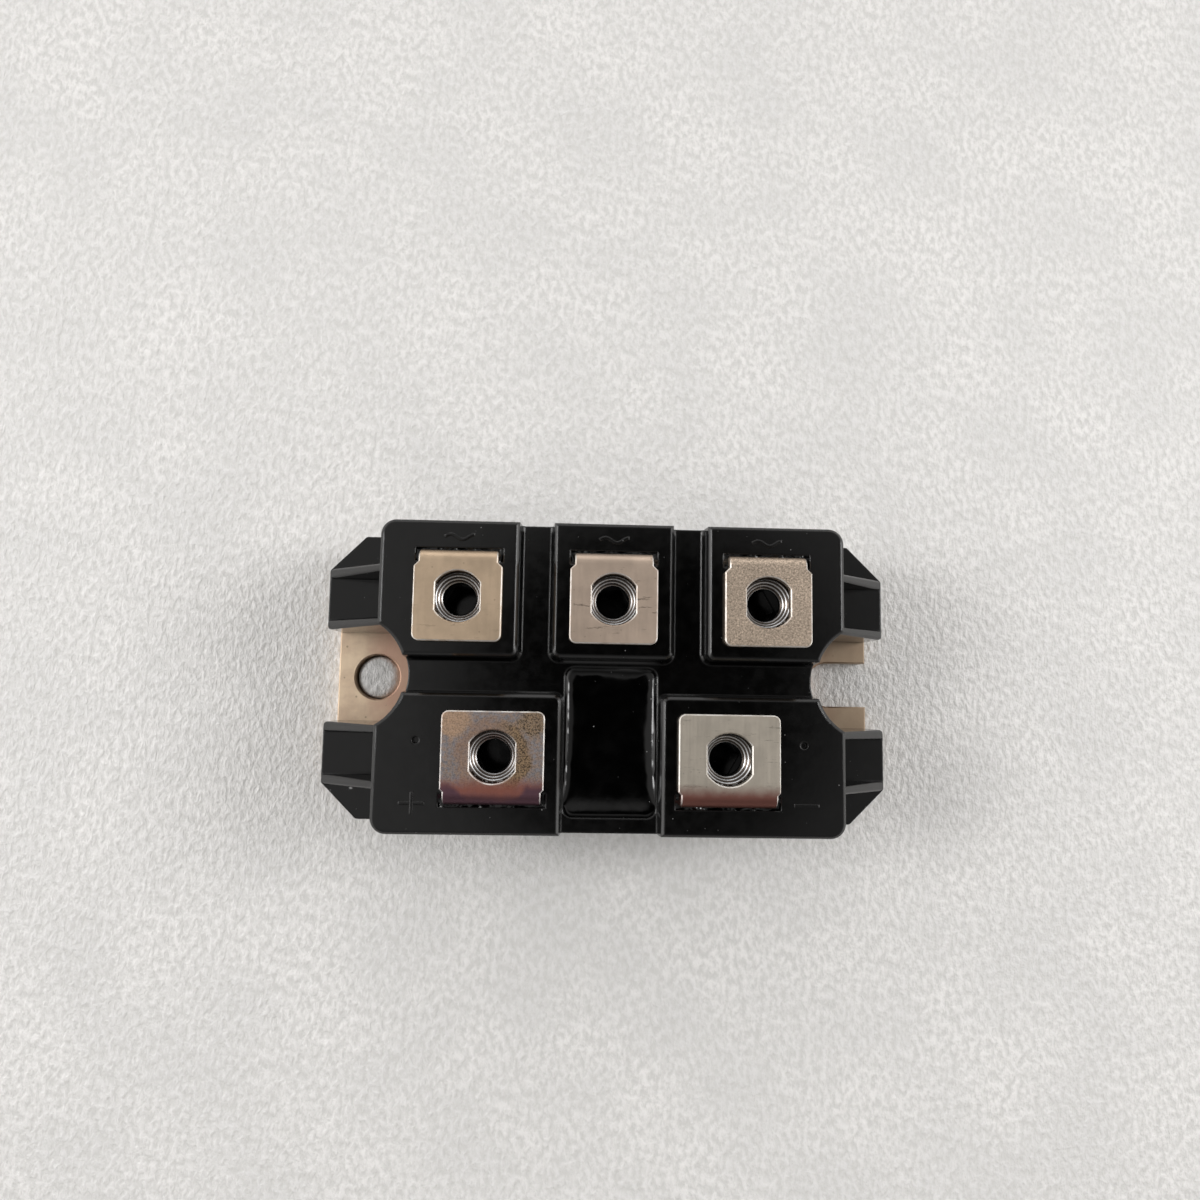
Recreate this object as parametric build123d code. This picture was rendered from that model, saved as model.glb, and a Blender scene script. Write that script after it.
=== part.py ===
from build123d import *
from math import atan, degrees, radians, sqrt, tan
import os

# A three-phase bridge rectifier module: a moulded case with five screw terminals on a plated
# copper base plate. Three alternating-current terminals stand in the back row (+Y), and the plus
# and minus terminals in the front row (-Y), with the potting window between these two.
# Frame: origin at the centre of the mounting face, X along the module, Z up. Millimetres.

# Base plate
PLATE_THICKNESS = 3.0
PLATE_END_INSET = 0.25
PLATE_EDGE = 0.2
FIXING_INSET = 6.0
FIXING_DIAMETER = 6.6
SLOT_WIDTH = 6.6

# Case, outside
CASE_LENGTH = 80.0
CASE_WIDTH = 40.0
CASE_CHAMFER = 5.0
EAR_LENGTH = 9.8
BODY_CORNER = 2.0
BLOCK_TOP = 24.8
CHANNEL_DEPTH = 3.2
BLOCK_DRAFT = 5.0
BLOCK_CORNER = 0.9
BLOCK_EDGE = 0.35
BLOCK_FOOT = 0.3
SIDE_WALL = 2.0
ROOF = 2.2
SKIRT_WIDTH = 1.2
SKIRT_END_GAP = 0.5
SKIRT_BOTTOM = 0.5
PLATE_CLEARANCE = 0.1

# Blocks and channels, seen from above, at the top of the blocks
MIDDLE_BLOCK_WIDTH = 15.5
AC_BLOCK_GAP = 4.6
DC_BLOCK_GAP = 13.0
AC_TAB_MARGIN = 1.8
DC_TAB_MARGIN = 2.15

# Screw recesses and ears at both ends
RECESS_RADIUS = 7.5
RECESS_WIDTH = 13.0
EAR_HEIGHT = 10.0
EAR_CORNER = 0.6
EAR_EDGE = 0.25
RIB_THICKNESS = 1.4
RIB_TOP = 1.0
RIB_SPACING = 7.3
RIB_SLOPE = 45.0

# Potting window between the plus and minus blocks
WINDOW_WIDTH = 12.0
WINDOW_FRONT_WALL = 2.0
WINDOW_BACK_LEDGE = 1.15
WINDOW_CORNER = 1.2
WINDOW_EDGE = 0.15
RESIN_DROP = 1.0
RESIN_CREEP = 0.6
RESIN_CREEP_ANGLE = 40.0
RESIN_FEATHER = 0.1
GEL_LEVEL = 11.0

# Moulding dots on the front blocks
DOT_DIAMETER = 0.9
DOT_DEPTH = 0.8
DOT_END_INSET = 5.4
DOT_BEHIND_ROW = 1.9

# Terminals
STRIP_THICKNESS = 1.2
BEND_RADIUS = 0.2
AC_END_INSET = 10.2
AC_ROW_INSET = 10.0
AC_TAB_WIDTH = 11.3
AC_NECK_WIDTH = 10.1
DC_PITCH = 30.0
DC_ROW_INSET = 9.85
DC_TAB_WIDTH = 13.0
DC_NECK_WIDTH = 12.3
TAB_FRONT = 5.7
TAB_BACK = 6.05
TAB_CORNER = 0.9
TAB_EDGE = 0.15
SHOULDER = 1.6
TAB_HOLE_DIAMETER = 6.7
TAB_HOLE_FLATS = 5.7
LEG_WIDTH = 6.0
LEG_NARROWS_AT = 17.0
LEG_TAPER = 2.0
FOOT_LENGTH = 3.2
SLOT_END_GAP = 0.6
SLOT_BACK_GAP = 0.35
SLOT_FRONT_GAP = 0.25

# Terminal nuts, M5
NUT_FLATS = 8.0
NUT_HEIGHT = 4.0
NUT_HEADROOM = 0.5
NUT_EDGE = 0.3
THREAD_DIAMETER = 4.2
THREAD_CHAMFER = 0.45
NUT_POCKET_GAP = 0.1
WELL_FLATS = 5.6
WELL_DEPTH = 6.0
WELL_WALL = 1.4
WELL_FLOOR = 1.5

# Insulating substrate and its copper
CERAMIC_END_GAP = 0.5
CERAMIC_SIDE_GAP = 1.1
CERAMIC_THICKNESS = 0.63
COPPER_THICKNESS = 0.3
COPPER_BORDER = 0.8
TRACK_GAP = 1.0
AC_TRACK_BORDER = 1.1
DC_TRACK_BORDER = 3.7

# Diode chips
CHIP_SIZE = 7.0
CHIP_THICKNESS = 0.4
CHIP_FOOT_GAP = 0.35
UPPER_CHIP_SHIFT = 0.6

# Copper links inside
LINK_THICKNESS = 0.8
LINK_WIDTH = 5.0
LINK_BORDER = 1.2
CLIP_RISE = 2.4
CLIP_CHIP_FOOT = 4.4
CLIP_TRACK_FOOT = 1.2
CLIP_TRACK_GAP = 0.3
COMB_CLEARANCE = 1.3
COMB_CHIP_FOOT = 4.0
COMB_BAR_WIDTH = 3.6
COMB_ARM_INSET = 1.9
COMB_ARM_WIDTH = 3.4
COMB_TRACK_FOOT = 2.4

# Heights and places worked out from the sizes above
CASE_END = CASE_LENGTH / 2
CASE_SIDE = CASE_WIDTH / 2
BODY_END = CASE_END - EAR_LENGTH
BODY_LENGTH = 2 * BODY_END
FIXING_SPACING = CASE_LENGTH - 2 * FIXING_INSET
FIXING_X = FIXING_SPACING / 2
SKIRT_REACH = CASE_END - CASE_CHAMFER - SKIRT_END_GAP
AC_PITCH = BODY_END - AC_END_INSET
AC_ROW = CASE_SIDE - AC_ROW_INSET
DC_ROW = DC_ROW_INSET - CASE_SIDE
AC_BLOCK_FRONT = AC_ROW - TAB_FRONT - AC_TAB_MARGIN
DC_BLOCK_BACK = DC_ROW + TAB_FRONT + DC_TAB_MARGIN
WINDOW_FRONT = WINDOW_FRONT_WALL - CASE_SIDE
WINDOW_BACK = AC_BLOCK_FRONT - WINDOW_BACK_LEDGE
DOT_X = BODY_END - DOT_END_INSET
DOT_Y = DC_ROW + DOT_BEHIND_ROW
CHANNEL_FLOOR = BLOCK_TOP - CHANNEL_DEPTH
CAVITY_TOP = CHANNEL_FLOOR - ROOF
RESIN_LEVEL = CHANNEL_FLOOR - RESIN_DROP
NUT_BOTTOM = BLOCK_TOP - NUT_HEADROOM - NUT_HEIGHT
BACK_COPPER_TOP = PLATE_THICKNESS + COPPER_THICKNESS
CERAMIC_TOP = BACK_COPPER_TOP + CERAMIC_THICKNESS
TRACK_TOP = CERAMIC_TOP + COPPER_THICKNESS
CHIP_TOP = TRACK_TOP + CHIP_THICKNESS
CERAMIC_END = FIXING_X - RECESS_RADIUS - SIDE_WALL - CERAMIC_END_GAP
CERAMIC_SIDE = CASE_SIDE - SIDE_WALL - CERAMIC_SIDE_GAP
TRACK_END = CERAMIC_END - COPPER_BORDER
TRACK_SIDE = CERAMIC_SIDE - COPPER_BORDER
LOWER_CHIP_ROW = AC_ROW + TAB_BACK - FOOT_LENGTH - CHIP_FOOT_GAP - CHIP_SIZE / 2
AC_TRACK_FRONT = LOWER_CHIP_ROW - CHIP_SIZE / 2 - CLIP_TRACK_GAP - CLIP_TRACK_FOOT - AC_TRACK_BORDER
MINUS_TRACK_BACK = DC_ROW - TAB_BACK + FOOT_LENGTH + DC_TRACK_BORDER
UPPER_CHIP_ROW = (AC_TRACK_FRONT + MINUS_TRACK_BACK) / 2 - UPPER_CHIP_SHIFT
PHASE_WIDTH = (2 * TRACK_END - 2 * TRACK_GAP) / 3
PHASE_PITCH = PHASE_WIDTH + TRACK_GAP
CLIP_LEVEL = CHIP_TOP + CLIP_RISE
COMB_LEVEL = CLIP_LEVEL + LINK_THICKNESS + COMB_CLEARANCE
COMB_ARM_X = TRACK_END - COMB_ARM_INSET
PHASES = (-1, 0, 1)
TINY = 0.001


class Terminal:
    """Where one terminal stands: the place of its screw, the way to its leg, and its widths."""

    def __init__(self, name, x, y, tab_width, neck_width):
        self.name = name
        self.x = x
        self.y = y
        self.way = 1 if y > 0 else -1
        self.tab_width = tab_width
        self.neck_width = neck_width
        self.back = y + self.way * TAB_BACK


def terminals():
    """The three terminals of the back row, then the two of the front row."""
    row = [Terminal(f"ac_{n + 2}", n * AC_PITCH, AC_ROW, AC_TAB_WIDTH, AC_NECK_WIDTH) for n in PHASES]
    for name, side in (("plus", -1), ("minus", 1)):
        row.append(Terminal(name, side * DC_PITCH / 2, DC_ROW, DC_TAB_WIDTH, DC_NECK_WIDTH))
    return row


# Simple shapes
def rectangle(x_low, x_high, y_low, y_high):
    """A flat rectangle between two corners."""
    centre = ((x_low + x_high) / 2, (y_low + y_high) / 2)
    return Pos(*centre) * Rectangle(x_high - x_low, y_high - y_low)


def prism(face, z_low, z_high):
    """A flat outline on the ground plane, drawn up between two heights."""
    return extrude(Pos(0, 0, z_low) * face, amount=z_high - z_low, dir=(0, 0, 1))


def box(x_low, x_high, y_low, y_high, z_low, z_high):
    """A plain block between two corners."""
    return prism(rectangle(x_low, x_high, y_low, y_high), z_low, z_high)


def strip(line, x_centre, width, thickness):
    """A bent strip: a middle line of (y, z) points given its thickness, then drawn to its width."""
    profile = Plane.YZ * trace(line, line_width=thickness)
    return Pos(x_centre, 0, 0) * extrude(profile, amount=width / 2, both=True)


def edges_at(solid, height):
    """The edges of a solid that lie at one height."""
    return solid.edges().filter_by_position(Axis.Z, height, height)


# Plan outlines
def case_outline():
    outline = Rectangle(CASE_LENGTH, CASE_WIDTH)
    return chamfer(outline.vertices(), CASE_CHAMFER)


def recess_outline(side, extra=0.0):
    """The screw recess around a fixing: a round bay that opens straight out of the case's end."""
    half_width = RECESS_WIDTH / 2 + extra
    bay = Circle(RECESS_RADIUS + extra) & Rectangle(CASE_LENGTH, 2 * half_width)
    outline = bay + rectangle(0, CASE_LENGTH, -half_width, half_width)
    return Pos(side * FIXING_X, 0) * Rot(0, 0, 0 if side > 0 else 180) * outline


def body_outline():
    outline = fillet(Rectangle(BODY_LENGTH, CASE_WIDTH).vertices(), BODY_CORNER)
    return outline - recess_outline(-1) - recess_outline(1)


def cavity_outline():
    outline = Rectangle(BODY_LENGTH - 2 * SIDE_WALL, CASE_WIDTH - 2 * SIDE_WALL)
    return outline - recess_outline(-1, SIDE_WALL) - recess_outline(1, SIDE_WALL)


def window_outline():
    outline = rectangle(-WINDOW_WIDTH / 2, WINDOW_WIDTH / 2, WINDOW_FRONT, WINDOW_BACK)
    return fillet(outline.vertices(), WINDOW_CORNER)


def hexagon(flats):
    """A hexagon with two of its flats facing front and back."""
    return RegularPolygon(radius=flats / 2, side_count=6, major_radius=False)


# Base plate, with a round fixing hole on the left and an open fixing slot on the right
def fixing_outline():
    half_width = SLOT_WIDTH / 2
    slot = Circle(half_width) + rectangle(0, CASE_LENGTH, -half_width, half_width)
    return Pos(-FIXING_X, 0) * Circle(FIXING_DIAMETER / 2) + Pos(FIXING_X, 0) * slot


def base_plate():
    inset = SKIRT_WIDTH + PLATE_CLEARANCE
    outline = Rectangle(CASE_LENGTH - 2 * PLATE_END_INSET, CASE_WIDTH - 2 * inset)
    outline = chamfer(outline.vertices(), CASE_CHAMFER - PLATE_END_INSET)
    plate = prism(outline - fixing_outline(), 0, PLATE_THICKNESS)
    return chamfer(edges_at(plate, PLATE_THICKNESS), PLATE_EDGE)


# Case
def block(x_low, x_high, y_low, y_high):
    """A terminal block with drafted walls, given by the rectangle of its top."""
    foot = block_foot(x_low, x_high, y_low, y_high)
    solid = extrude(Pos(0, 0, CHANNEL_FLOOR) * foot, amount=CHANNEL_DEPTH, taper=BLOCK_DRAFT)
    return chamfer(edges_at(solid, BLOCK_TOP), BLOCK_EDGE)


def block_foot(x_low, x_high, y_low, y_high):
    """The outline of a block where its walls meet the channel floor."""
    spread = CHANNEL_DEPTH * tan(radians(BLOCK_DRAFT))
    foot = rectangle(x_low - spread, x_high + spread, y_low - spread, y_high + spread)
    return fillet(foot.vertices(), BLOCK_CORNER + spread)


def plinth(x_low, x_high, y_low, y_high):
    """The small slope that fills the corner between a block's walls and the channel floor."""
    outline = offset(block_foot(x_low, x_high, y_low, y_high), amount=BLOCK_FOOT)
    slope = degrees(atan(1 + tan(radians(BLOCK_DRAFT))))
    return extrude(Pos(0, 0, CHANNEL_FLOOR) * outline, amount=BLOCK_FOOT, taper=slope)


def blocks():
    """The three blocks of the back row and the two of the front row, reaching past the body."""
    beyond = CASE_LENGTH
    middle = MIDDLE_BLOCK_WIDTH / 2
    back_row = [(-middle, middle, AC_BLOCK_FRONT, beyond)]
    solids = []
    for side in (-1, 1):
        low, high = sorted((side * (middle + AC_BLOCK_GAP), side * beyond))
        back_row.append((low, high, AC_BLOCK_FRONT, beyond))
        low, high = sorted((side * DC_BLOCK_GAP / 2, side * beyond))
        solids.append(block(low, high, -beyond, DC_BLOCK_BACK))
    for limits in back_row:
        solids += [block(*limits), plinth(*limits)]
    return solids


def upper_body():
    """The body with its five blocks and the channels between them, with broken edges."""
    outline = body_outline()
    envelope = prism(outline, CHANNEL_FLOOR, BLOCK_TOP)
    envelope = chamfer(edges_at(envelope, BLOCK_TOP), BLOCK_EDGE)
    body = prism(outline, PLATE_THICKNESS, CHANNEL_FLOOR)
    for solid in blocks():
        body += solid & envelope
    return body


def ear(side, row):
    """One ear at a corner of the case: a slab with two sloping ribs that stiffen it."""
    recess_side = RECESS_WIDTH / 2
    inner_end = BODY_END - SIDE_WALL / 2
    outline = case_outline() & rectangle(inner_end, CASE_END, recess_side, CASE_SIDE)
    corners = outline.vertices().filter_by_position(Axis.X, BODY_END, CASE_END)
    outline = fillet(corners, EAR_CORNER)
    slab = prism(outline, PLATE_THICKNESS, EAR_HEIGHT)
    for rib_side in (recess_side, recess_side + RIB_SPACING):
        slab += rib(inner_end, rib_side) & prism(outline, PLATE_THICKNESS, BLOCK_TOP)
    if side < 0:
        slab = mirror(slab, about=Plane.YZ)
    if row < 0:
        slab = mirror(slab, about=Plane.XZ)
    return slab


def rib(inner_end, rib_side):
    """A drafted rib whose top slopes up from the ear's outer edge to the body, with its edges broken."""
    rise = EAR_LENGTH * tan(radians(RIB_SLOPE))
    lean = (RIB_THICKNESS - RIB_TOP) / 2
    section = Polyline((rib_side, EAR_HEIGHT), (rib_side + RIB_THICKNESS, EAR_HEIGHT),
                       (rib_side + RIB_THICKNESS - lean, EAR_HEIGHT + rise),
                       (rib_side + lean, EAR_HEIGHT + rise), close=True)
    wall = Pos(inner_end, 0, 0) * extrude(Plane.YZ * make_face(section), amount=CASE_END - inner_end)
    above = Polyline((CASE_END, EAR_HEIGHT), (BODY_END, EAR_HEIGHT + rise),
                     (CASE_END, EAR_HEIGHT + rise), close=True)
    wall -= extrude(Plane.XZ * make_face(above), amount=CASE_WIDTH, both=True)
    slope = wall.faces().filter_by(lambda face: 0.1 < face.normal_at().X < 0.9)[0]
    return chamfer(slope.edges().filter_by(Axis.Y, reverse=True), EAR_EDGE)


def skirt(row):
    """The lip along one long side of the case, which reaches down past the base plate's edge."""
    side = row * CASE_SIDE
    low, high = sorted((side, side - row * SKIRT_WIDTH))
    return box(-SKIRT_REACH, SKIRT_REACH, low, high, SKIRT_BOTTOM, PLATE_THICKNESS)


def boss(terminal):
    """The closed hexagonal tube that hangs under a nut and takes the end of its screw."""
    outline = Pos(terminal.x, terminal.y) * hexagon(WELL_FLATS + 2 * WELL_WALL)
    return prism(outline, NUT_BOTTOM - WELL_DEPTH - WELL_FLOOR, CAVITY_TOP)


def nut_pocket(terminal):
    """The hexagonal pocket that holds a nut, with the well for the screw's end below it."""
    place = Pos(terminal.x, terminal.y)
    pocket = prism(place * hexagon(NUT_FLATS + 2 * NUT_POCKET_GAP), NUT_BOTTOM, BLOCK_TOP)
    return pocket + prism(place * hexagon(WELL_FLATS), NUT_BOTTOM - WELL_DEPTH, NUT_BOTTOM)


def leg_slot(terminal):
    """The slot that a terminal's leg goes down through, behind its nut."""
    half_length = terminal.neck_width / 2 + SLOT_END_GAP
    front = terminal.back - terminal.way * (STRIP_THICKNESS + SLOT_FRONT_GAP)
    back = terminal.back + terminal.way * SLOT_BACK_GAP
    low, high = sorted((front, back))
    return box(terminal.x - half_length, terminal.x + half_length, low, high, CAVITY_TOP, BLOCK_TOP)


def housing():
    """The whole moulding: body, ears and skirts, hollowed out, with its window and terminal places."""
    case = upper_body()
    for row in (-1, 1):
        case += skirt(row)
        for side in (-1, 1):
            case += ear(side, row)
            case -= prism(Pos(side * DOT_X, DOT_Y) * Circle(DOT_DIAMETER / 2),
                          BLOCK_TOP - DOT_DEPTH, BLOCK_TOP)
    case -= prism(cavity_outline(), PLATE_THICKNESS, CAVITY_TOP)
    case -= prism(window_outline(), CAVITY_TOP, CHANNEL_FLOOR)
    rim = edges_at(case, CHANNEL_FLOOR).filter_by(on_window_rim)
    case = chamfer(rim, WINDOW_EDGE)
    for terminal in terminals():
        case += boss(terminal)
        case -= [nut_pocket(terminal), leg_slot(terminal)]
    return case


def on_window_rim(edge):
    """Whether an edge is part of the potting window's outline."""
    middle = edge @ 0.5
    return abs(middle.X) < WINDOW_WIDTH / 2 + TINY and WINDOW_FRONT - TINY < middle.Y < WINDOW_BACK + TINY


# Filling: soft gel over the diodes, hard resin above it up to the window
def silicone_gel(inner_parts):
    gel = prism(cavity_outline(), PLATE_THICKNESS, GEL_LEVEL)
    return gel - inner_parts


def epoxy_potting(legs):
    resin = prism(cavity_outline(), GEL_LEVEL, CAVITY_TOP)
    resin += prism(window_outline(), CAVITY_TOP, RESIN_LEVEL + RESIN_CREEP)
    # The resin creeps up the window's walls, so its surface is scooped out of a fuller block.
    slope = tan(radians(RESIN_CREEP_ANGLE))
    surface = offset(window_outline(), amount=-RESIN_FEATHER - RESIN_CREEP * slope)
    resin -= extrude(Pos(0, 0, RESIN_LEVEL) * surface, amount=RESIN_CREEP, taper=-RESIN_CREEP_ANGLE)
    return resin - [boss(terminal) for terminal in terminals()] - legs


# Terminals and nuts
def tab_outline(terminal):
    """A tab from above, with its screw at the origin and its bend towards +Y."""
    tab = terminal.tab_width / 2
    neck = terminal.neck_width / 2
    shoulder = TAB_BACK - SHOULDER
    outline = make_face(Polyline((-tab, -TAB_FRONT), (tab, -TAB_FRONT), (tab, shoulder - (tab - neck)),
                                 (neck, shoulder), (neck, TAB_BACK), (-neck, TAB_BACK),
                                 (-neck, shoulder), (-tab, shoulder - (tab - neck)), close=True))
    outline = fillet(outline.vertices().group_by(Axis.Y)[0], TAB_CORNER)
    hole = Circle(TAB_HOLE_DIAMETER / 2) & Rectangle(TAB_HOLE_FLATS, TAB_HOLE_DIAMETER)
    return outline - hole


def leg_outline(terminal):
    """A leg from the front: as wide as the neck through the case, then narrower down to its foot."""
    neck = terminal.neck_width / 2
    leg = LEG_WIDTH / 2
    low = LEG_NARROWS_AT - LEG_TAPER
    return make_face(Polyline((-leg, 0), (leg, 0), (leg, low), (neck, LEG_NARROWS_AT),
                              (neck, BLOCK_TOP), (-neck, BLOCK_TOP), (-neck, LEG_NARROWS_AT),
                              (-leg, low), close=True))


def terminal_strip(terminal):
    """A terminal: a tab over its nut, a leg down through the case, and a foot on its track."""
    half = STRIP_THICKNESS / 2
    leg = TAB_BACK - half
    tab_level = BLOCK_TOP + half
    foot_level = TRACK_TOP + half
    knee = LEG_NARROWS_AT
    bend = FilletPolyline((-TAB_FRONT, tab_level), (leg, tab_level), (leg, knee), radius=BEND_RADIUS + half)
    foot = Polyline((leg, knee), (leg, foot_level), (TAB_BACK - FOOT_LENGTH, foot_level))
    solid = strip(bend, 0, terminal.tab_width, STRIP_THICKNESS)
    solid += strip(foot, 0, terminal.tab_width, STRIP_THICKNESS)
    leg_space = extrude(Plane.XZ * leg_outline(terminal), amount=TAB_BACK, both=True)
    tab_top = BLOCK_TOP + STRIP_THICKNESS
    solid &= leg_space + prism(Rectangle(CASE_LENGTH, CASE_LENGTH), BLOCK_TOP, tab_top)
    solid &= prism(tab_outline(terminal), 0, tab_top)
    bend_start = TAB_BACK - STRIP_THICKNESS - BEND_RADIUS
    rim = edges_at(solid, tab_top).filter_by(lambda edge: (edge @ 0.5).Y < bend_start - TINY)
    solid = chamfer(rim, TAB_EDGE)
    return Pos(terminal.x, terminal.y, 0) * Rot(0, 0, 0 if terminal.way > 0 else 180) * solid


def nut(terminal):
    """A hexagon nut, with its upper corners turned off and a plain bore of the thread's inner size."""
    top = NUT_BOTTOM + NUT_HEIGHT
    ring = Circle(NUT_FLATS / sqrt(3)) - Circle(THREAD_DIAMETER / 2)
    turned = prism(ring, NUT_BOTTOM, top)
    turned = chamfer(edges_at(turned, top).sort_by(SortBy.LENGTH)[-1], NUT_EDGE)
    turned = chamfer(edges_at(turned, top).sort_by(SortBy.LENGTH)[0], THREAD_CHAMFER)
    return Pos(terminal.x, terminal.y, 0) * (turned & prism(hexagon(NUT_FLATS), NUT_BOTTOM, top))


# Insulating substrate, tracks and diode chips
def substrate_copper():
    outline = Rectangle(2 * TRACK_END, 2 * TRACK_SIDE)
    return prism(outline, PLATE_THICKNESS, BACK_COPPER_TOP)


def ceramic_substrate():
    return prism(Rectangle(2 * CERAMIC_END, 2 * CERAMIC_SIDE), BACK_COPPER_TOP, CERAMIC_TOP)


def ac_track(phase):
    centre = phase * PHASE_PITCH
    return box(centre - PHASE_WIDTH / 2, centre + PHASE_WIDTH / 2, AC_TRACK_FRONT, TRACK_SIDE,
               CERAMIC_TOP, TRACK_TOP)


def plus_track():
    """The plus track: a bar under the three upper diodes, with a lobe for the terminal's foot."""
    front = MINUS_TRACK_BACK + TRACK_GAP
    bar = rectangle(-TRACK_END, TRACK_END, front, AC_TRACK_FRONT - TRACK_GAP)
    lobe = rectangle(-TRACK_END, -TRACK_GAP / 2, -TRACK_SIDE, front)
    return prism(bar + lobe, CERAMIC_TOP, TRACK_TOP)


def minus_track():
    return box(TRACK_GAP / 2, TRACK_END, -TRACK_SIDE, MINUS_TRACK_BACK, CERAMIC_TOP, TRACK_TOP)


def diode(phase, row):
    """One diode chip, on the track at its row."""
    return prism(Pos(phase * PHASE_PITCH, row) * Rectangle(CHIP_SIZE, CHIP_SIZE), TRACK_TOP, CHIP_TOP)


# Copper links
def ac_clip(phase):
    """The bridge from the top of an upper diode over to its alternating-current track."""
    half = LINK_THICKNESS / 2
    chip_end = UPPER_CHIP_ROW - CHIP_SIZE / 2 + LINK_BORDER
    chip_riser = chip_end + CLIP_CHIP_FOOT
    track_end = LOWER_CHIP_ROW - CHIP_SIZE / 2 - CLIP_TRACK_GAP
    track_riser = track_end - CLIP_TRACK_FOOT
    line = Polyline((chip_end, CHIP_TOP + half), (chip_riser, CHIP_TOP + half),
                    (chip_riser, CLIP_LEVEL + half), (track_riser, CLIP_LEVEL + half),
                    (track_riser, TRACK_TOP + half), (track_end, TRACK_TOP + half))
    return strip(line, phase * PHASE_PITCH, LINK_WIDTH, LINK_THICKNESS)


def minus_comb():
    """The comb that joins the tops of the three lower diodes and leads to the minus track."""
    half = LINK_THICKNESS / 2
    level = COMB_LEVEL + half
    chip_end = LOWER_CHIP_ROW + CHIP_SIZE / 2 - LINK_BORDER
    riser = chip_end - COMB_CHIP_FOOT
    bar_back = riser + half
    bar_front = bar_back - COMB_BAR_WIDTH
    comb = box(-PHASE_PITCH - LINK_WIDTH / 2, COMB_ARM_X + COMB_ARM_WIDTH / 2, bar_front, bar_back,
               COMB_LEVEL, COMB_LEVEL + LINK_THICKNESS)
    finger = Polyline((chip_end, CHIP_TOP + half), (riser, CHIP_TOP + half), (riser, level),
                      (bar_front, level))
    for phase in PHASES:
        comb += strip(finger, phase * PHASE_PITCH, LINK_WIDTH, LINK_THICKNESS)
    arm_riser = MINUS_TRACK_BACK - LINK_BORDER
    foot = TRACK_TOP + half
    arm = Polyline((bar_back, level), (arm_riser, level), (arm_riser, foot),
                   (arm_riser - COMB_TRACK_FOOT, foot))
    return comb + strip(arm, COMB_ARM_X, COMB_ARM_WIDTH, LINK_THICKNESS)


def sub_parts():
    """Every sub-part of the module, by its node's name."""
    strips = {f"{terminal.name}_terminal": terminal_strip(terminal) for terminal in terminals()}
    inner = {"substrate_copper": substrate_copper(), "ceramic_substrate": ceramic_substrate()}
    inner["plus_track"] = plus_track()
    inner["minus_track"] = minus_track()
    inner["minus_comb"] = minus_comb()
    for phase in PHASES:
        number = phase + 2
        inner[f"ac_track_{number}"] = ac_track(phase)
        inner[f"lower_diode_{number}"] = diode(phase, LOWER_CHIP_ROW)
        inner[f"upper_diode_{number}"] = diode(phase, UPPER_CHIP_ROW)
        inner[f"ac_clip_{number}"] = ac_clip(phase)
    legs = list(strips.values())
    parts = {"base_plate": base_plate(), "housing": housing()}
    parts["silicone_gel"] = silicone_gel(list(inner.values()) + legs)
    parts["epoxy_potting"] = epoxy_potting(legs)
    parts.update(inner)
    parts.update(strips)
    parts.update({f"{terminal.name}_nut": nut(terminal) for terminal in terminals()})
    return parts


os.makedirs("parts", exist_ok=True)
for name, solid in sub_parts().items():
    export_step(solid, f"parts/{name}.step")
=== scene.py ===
import math

import bmesh
import bpy
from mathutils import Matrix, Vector, noise


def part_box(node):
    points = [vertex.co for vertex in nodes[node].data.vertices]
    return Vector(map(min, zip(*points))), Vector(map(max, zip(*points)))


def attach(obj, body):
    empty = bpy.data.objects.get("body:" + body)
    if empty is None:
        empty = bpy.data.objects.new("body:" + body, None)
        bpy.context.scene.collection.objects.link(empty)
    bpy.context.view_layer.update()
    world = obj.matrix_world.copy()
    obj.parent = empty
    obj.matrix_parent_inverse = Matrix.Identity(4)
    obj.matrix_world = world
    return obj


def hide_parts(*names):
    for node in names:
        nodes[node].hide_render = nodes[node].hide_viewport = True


# The looks of a bridge rectifier module, seen from above on a pale foam sheet.
# Everything is in metres, in the frame of the model: X along the module, Z up.
MM = 0.001

# Points nearer than this are one point
SAME_PLACE = 1e-7

# Camera, fitted to the photograph, which is 1200 pixels wide
PHOTO_PIXELS = 1200
FOCAL_PIXELS = 950
SENSOR_MM = 36.0
CAMERA_PLACE = Vector((-6.467, -2.665, 146.798)) * MM
CAMERA_TURN = (0.10269, -0.04029, 0.01676)
CAMERA_NEAR = 5 * MM

# Moulded signs
SIGN_WIDTH = 0.5 * MM
SIGN_HEIGHT = 0.07 * MM
SIGN_SUNK = 0.05 * MM
SIGN_FLAT_SHARE = 0.55
SIGN_PROFILE_STEPS = 4
CROSSING_LIFT = 0.015 * MM
WAVE_LENGTH = 3.9 * MM
WAVE_HEIGHT = 0.33 * MM
WAVE_BEHIND_TAB = 1.8 * MM
WAVE_CREST = 0.2
WAVE_PERIOD = 0.78
WAVE_STEPS = 32
STROKE_STEPS = 8
PLUS_WIDTH = 3.3 * MM
PLUS_HEIGHT = 2.8 * MM
PLUS_PLACE = (-25.05 * MM, -16.1 * MM)
MINUS_SIZE = 3.3 * MM
MINUS_PLACE = (25.05 * MM, -15.85 * MM)

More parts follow.
